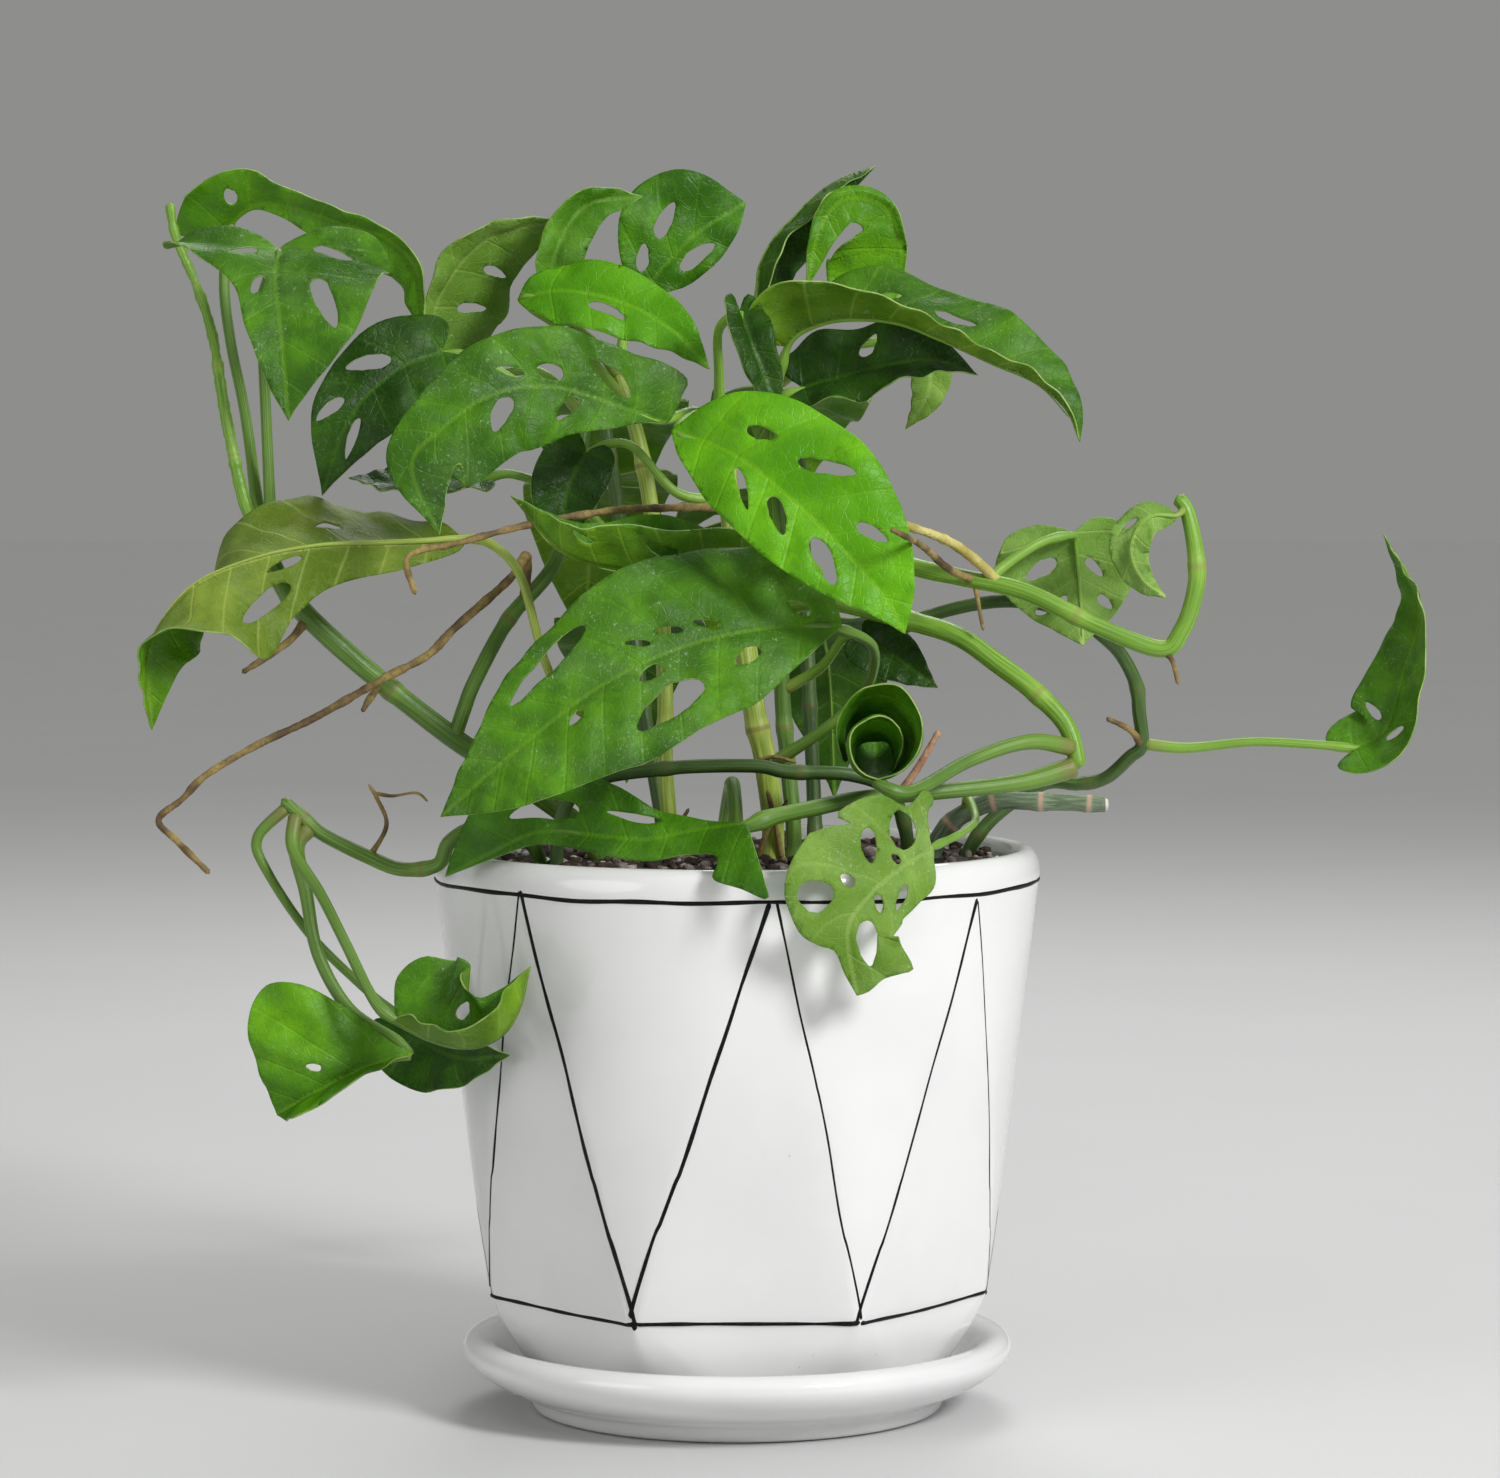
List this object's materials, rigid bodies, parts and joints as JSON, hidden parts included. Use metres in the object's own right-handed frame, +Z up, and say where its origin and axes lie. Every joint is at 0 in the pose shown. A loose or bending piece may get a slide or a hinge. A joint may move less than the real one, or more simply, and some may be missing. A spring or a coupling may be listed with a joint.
{
  "type": "monstera adansonii in a pot",
  "caption": "Climbing monstera with perforated leaves on long vines, in a white glazed pot with a line pattern, on its saucer.",
  "frame": {"origin": "middle of the saucer foot's flat underside, on the surface that the plant stands on", "axes": "+Z up along the pot's axis, -Y towards the front of the plant, +X to the viewer's right"},
  "size_m": [0.4177, 0.3284, 0.4151],
  "materials": {
    "white_glaze": "glossy white glaze over thick ceramic",
    "black_line": "thin black hand-painted line, slightly raised",
    "potting_mix": "loose dark potting mix with grit and white chips",
    "grit": "pinkish grey grit and white pumice chips",
    "green_stem": "smooth waxy green stem",
    "old_stem": "dull grey-green old stem with ring scars",
    "air_root": "dry rough brown root",
    "young_leaf": "bright lime green leaf, satin",
    "green_leaf": "mid green leaf, satin",
    "dusty_leaf": "mid green leaf with a dusty pale bloom",
    "deep_leaf": "deep green leaf, satin",
    "pale_leaf": "pale yellow-green leaf, matt"
  },
  "bodies": {
    "root": {"leaf_back_1": "green_leaf", "leaf_back_2": "dusty_leaf", "leaf_back_3": "deep_leaf", "leaf_back_4": "green_leaf", "leaf_back_5": "dusty_leaf", "leaf_back_6": "deep_leaf", "leaf_back_7": "green_leaf", "leaf_back_8": "green_leaf", "leaf_far_left": "green_leaf", "leaf_far_right": "dusty_leaf", "leaf_inner_dark": "deep_leaf", "leaf_largest": "dusty_leaf", "leaf_left_arch": "pale_leaf", "leaf_left_dark": "deep_leaf", "leaf_left_long": "pale_leaf", "leaf_left_thin": "deep_leaf", "leaf_lime": "young_leaf", "leaf_low_cup": "dusty_leaf", "leaf_low_dark": "deep_leaf", "leaf_low_shell": "green_leaf", "leaf_middle_holed": "dusty_leaf", "leaf_right_hanging": "pale_leaf", "leaf_right_long": "dusty_leaf", "leaf_right_pale": "pale_leaf", "leaf_right_small": "pale_leaf", "leaf_right_under": "deep_leaf", "leaf_rim": "green_leaf", "leaf_rolled": "green_leaf", "leaf_round_dark": "deep_leaf", "leaf_skeletal": "pale_leaf", "leaf_strap": "deep_leaf", "leaf_top_bright": "young_leaf", "leaf_top_folded": "pale_leaf", "leaf_top_holed": "green_leaf", "leaf_top_left": "dusty_leaf", "leaf_top_open": "green_leaf", "leaf_top_upright": "deep_leaf", "leaf_trough": "green_leaf", "leaf_vine_tip": "pale_leaf", "pot": "white_glaze", "root_long": "air_root", "root_upper": "air_root", "saucer": "white_glaze", "soil": "potting_mix", "stem_centre": "green_stem", "stem_centre_left": "green_stem", "stem_centre_right": "green_stem", "vine_arching": "green_stem", "vine_back_left": "green_stem", "vine_back_right": "green_stem", "vine_back_trailing": "green_stem", "vine_bright": "green_stem", "vine_cut": "old_stem", "vine_left": "green_stem", "vine_left_inner": "green_stem", "vine_low_loop": "green_stem", "vine_lying": "green_stem", "vine_trailing": "green_stem"}
  },
  "joints": []
}
